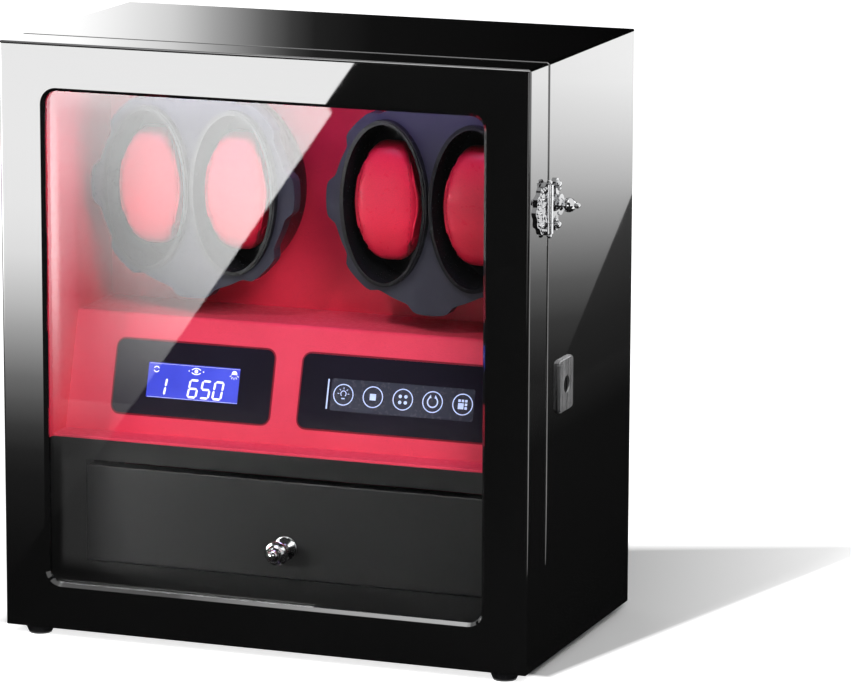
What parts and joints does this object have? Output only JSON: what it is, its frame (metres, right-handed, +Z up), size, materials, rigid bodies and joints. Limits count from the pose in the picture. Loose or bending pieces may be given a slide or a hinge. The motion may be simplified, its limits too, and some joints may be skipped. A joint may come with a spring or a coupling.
{
  "type": "watch winder box",
  "caption": "Lacquered box with a hinged glazed door, lobed rotors on gear drives that turn watch pillows, a control console and a drawer.",
  "frame": {"origin": "on the floor, under the middle of the box (its width and its depth with the door shut); the latch and the hinge knuckles stand out past the sides by different amounts", "axes": "+Z up, -Y out of the glazed front, +X towards the latch side"},
  "size_m": [0.3464, 0.185, 0.3535],
  "materials": {
    "lacquer": "high gloss black piano lacquer on board",
    "softwood": "plain sawn",
    "steel": "brushed",
    "rubber": "semi-gloss",
    "red_leather": "smooth red leatherette",
    "black_glass": "back-painted black, polished",
    "screen": "blue liquid crystal screen, lit",
    "circuit": "solder mask",
    "aluminium": "satin",
    "diffuser": "frosted",
    "black_plastic": "fine satin",
    "slate_plastic": "satin slate",
    "pillow_leather": "soft red leatherette",
    "gear_plastic": "natural acetal",
    "brass": "turned",
    "chrome": "polished",
    "glass": "clear float glass",
    "lining": "short velvet"
  },
  "bodies": {
    "case": {"case_top": "lacquer", "case_bottom": "lacquer", "case_left": "lacquer", "case_right": "lacquer", "back_panel": "lacquer", "back_battens": "softwood", "back_screws": "steel", "case_feet": "rubber", "foot_screws": "steel", "face_frame": "lacquer", "shelf_board": "lacquer", "side_liners": "red_leather", "top_liner": "red_leather", "motor_board": "red_leather", "console": "red_leather", "display_glass": "black_glass", "lcd_module": "screen", "touch_glass": "black_glass", "touch_board": "circuit", "control_board": "circuit", "light_channel": "aluminium", "light_lens": "diffuser", "dc_jack": "black_plastic", "case_hinge_leaves": "chrome", "catch_plate": "chrome", "lock_body": "steel", "lock_plate": "chrome", "drawer_guides": "softwood", "motor_plates": "steel", "gearmotors": "steel", "rotor_bushes": "brass"},
    "door": {"door_frame": "lacquer", "door_glass": "glass", "glass_beads": "black_plastic", "door_hinge_leaves": "chrome", "hinge_pins": "chrome", "door_feet": "rubber", "latch_plate": "chrome"},
    "hasp": {"latch_hasp": "chrome"},
    "plug": {"key_plug": "chrome"},
    "bolt": {"lock_bolt": "steel"},
    "drawer": {"drawer_front": "lacquer", "drawer_tray": "lacquer", "drawer_lining": "lining", "drawer_knob": "chrome", "knob_screw": "steel"},
    "left_rotor": {"left_rotor_face": "slate_plastic", "left_cups": "black_plastic", "left_drum": "black_plastic", "left_shaft": "steel", "left_gear": "gear_plastic", "left_pillows": "pillow_leather"},
    "right_rotor": {"right_rotor_face": "slate_plastic", "right_cups": "black_plastic", "right_drum": "black_plastic", "right_shaft": "steel", "right_gear": "gear_plastic", "right_pillows": "pillow_leather"},
    "left_drive": {"left_pinion": "gear_plastic"},
    "right_drive": {"right_pinion": "gear_plastic"}
  },
  "joints": [
    {"name": "door_hinge", "type": "hinge", "parent": "case", "child": "door", "pos_m": [-0.1657, -0.0612, 0.1795], "axis": [0, 0, -1], "range_deg": [0, 110]},
    {"name": "drawer_slide", "type": "slide", "parent": "case", "child": "drawer", "axis": [0, -1, 0], "range_m": [0, 0.0922]},
    {"name": "hasp_hinge", "type": "hinge", "parent": "door", "child": "hasp", "pos_m": [0.1656, -0.0667, 0.2715], "axis": [0, 0, -1], "range_deg": [0, 120]},
    {"name": "key_turn", "type": "hinge", "parent": "case", "child": "plug", "pos_m": [0.163, -0.0319, 0.164], "axis": [1, 0, 0], "range_deg": [0, 90]},
    {"name": "bolt_slide", "type": "slide", "parent": "case", "child": "bolt", "axis": [0, -1, 0], "range_m": [0, 0.005]},
    {"name": "left_rotor_spin", "type": "hinge", "parent": "case", "child": "left_rotor", "pos_m": [-0.075, 0.0355, 0.25926], "axis": [0, -1, 0], "continuous": true},
    {"name": "right_rotor_spin", "type": "hinge", "parent": "case", "child": "right_rotor", "pos_m": [0.075, 0.0355, 0.25926], "axis": [0, -1, 0], "continuous": true},
    {"name": "left_pinion_spin", "type": "hinge", "parent": "case", "child": "left_drive", "pos_m": [-0.075, 0.0435, 0.22176], "axis": [0, -1, 0], "continuous": true},
    {"name": "right_pinion_spin", "type": "hinge", "parent": "case", "child": "right_drive", "pos_m": [0.075, 0.0435, 0.22176], "axis": [0, -1, 0], "continuous": true}
  ],
  "couplings": [
    {"joint": "drawer_slide", "follows": "door_hinge", "m_per_rad": 0.048},
    {"joint": "key_turn", "follows": "bolt_slide", "rad_per_m": 314.16},
    {"joint": "left_pinion_spin", "follows": "left_rotor_spin", "ratio": -4},
    {"joint": "right_pinion_spin", "follows": "right_rotor_spin", "ratio": -4}
  ]
}
